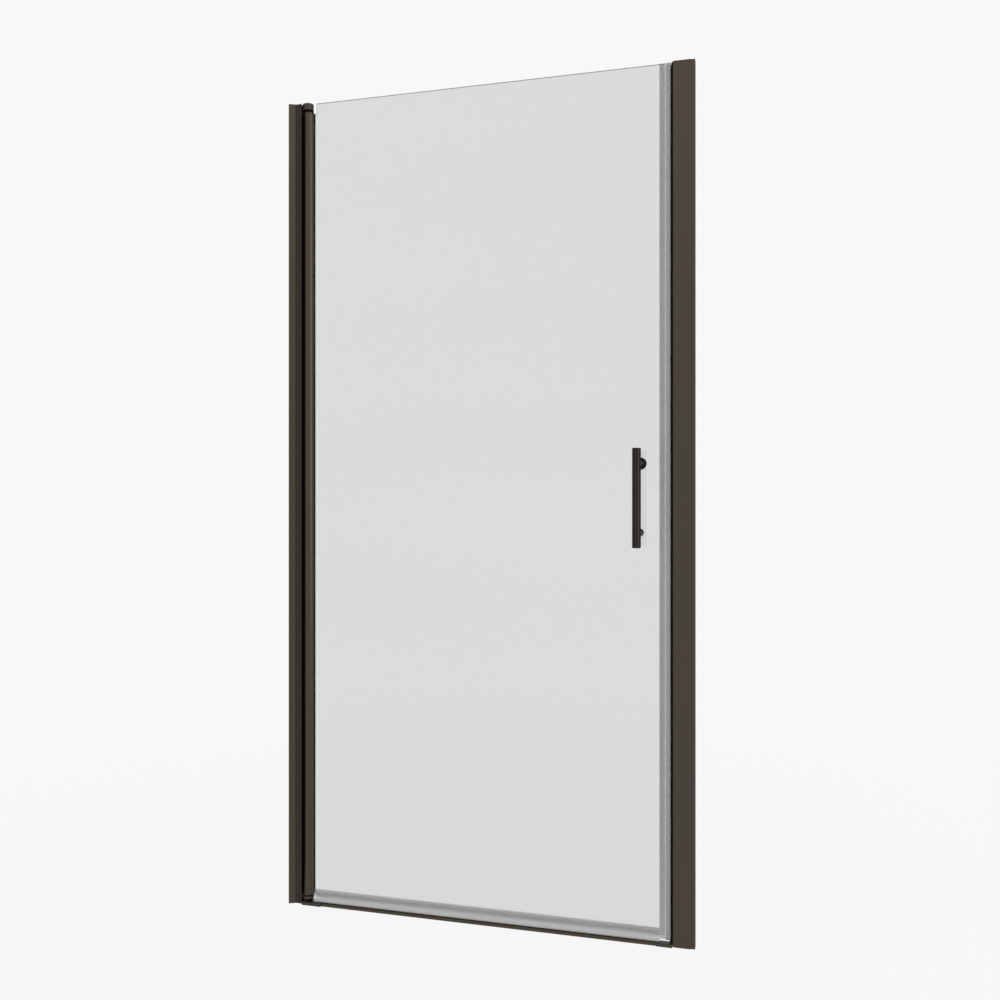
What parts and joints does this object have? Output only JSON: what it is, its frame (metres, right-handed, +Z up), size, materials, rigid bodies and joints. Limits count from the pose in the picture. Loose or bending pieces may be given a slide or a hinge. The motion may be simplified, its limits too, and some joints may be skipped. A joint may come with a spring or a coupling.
{
  "type": "shower door",
  "caption": "Pivot shower door: a clear glass leaf on a round hinge stile between wall jambs and a low sill, with clear seals, a pull bar outside and a knob inside.",
  "frame": {"origin": "on the underside of the sill, midway between the two walls, in the middle plane of the glass", "axes": "+X along the door from the hinge wall to the strike wall, +Y from the bathroom into the shower, +Z up"},
  "size_m": [0.9144, 0.0829, 1.8288],
  "materials": {
    "bronze_extrusion": "satin dark bronze anodised",
    "bronze_casting": "satin dark bronze coating on cast metal",
    "handle_metal": "oil-rubbed dark bronze",
    "steel": "plain stainless",
    "dark_steel": "blackened",
    "black_nylon": "matte",
    "black_rubber": "matte",
    "magnet_strip": "matte, magnetic filler",
    "clear_vinyl": "clear, slightly milky",
    "clear_washer": "clear",
    "clear_glass": "clear tempered"
  },
  "bodies": {
    "frame": {"hinge_wall_channel": "bronze_extrusion", "hinge_jamb": "bronze_extrusion", "strike_wall_channel": "bronze_extrusion", "strike_jamb": "bronze_extrusion", "sill_rail": "bronze_extrusion", "lower_pivot_foot": "bronze_casting", "sill_end_block": "bronze_casting", "upper_pivot_block": "bronze_casting", "lower_pivot_collar": "bronze_casting", "upper_pivot_pin": "steel", "lower_pivot_pin": "steel", "lower_pivot_nut": "dark_steel", "collar_set_screw": "dark_steel", "hinge_lock_screws": "dark_steel", "strike_lock_screws": "dark_steel", "pivot_tang_screws": "dark_steel", "lower_thrust_washer": "black_nylon", "hinge_jamb_seal": "black_rubber", "strike_magnet_strip": "magnet_strip"},
    "door": {"glass_panel": "clear_glass", "hinge_stile": "bronze_extrusion", "stile_glazing_gasket": "black_rubber", "upper_pivot_bushing": "black_nylon", "lower_pivot_bushing": "black_nylon", "bottom_seal": "clear_vinyl", "strike_seal": "clear_vinyl", "door_magnet": "magnet_strip", "handle_bar": "handle_metal", "handle_posts": "handle_metal", "handle_sleeve_washers": "clear_washer", "handle_back_washers": "clear_washer", "handle_studs": "steel", "inner_knob": "handle_metal", "inner_cap": "handle_metal"}
  },
  "joints": [
    {"name": "door_swing", "type": "hinge", "parent": "frame", "child": "door", "pos_m": [-0.4147, 0, 0], "axis": [0, 0, -1], "range_deg": [0, 110]}
  ]
}
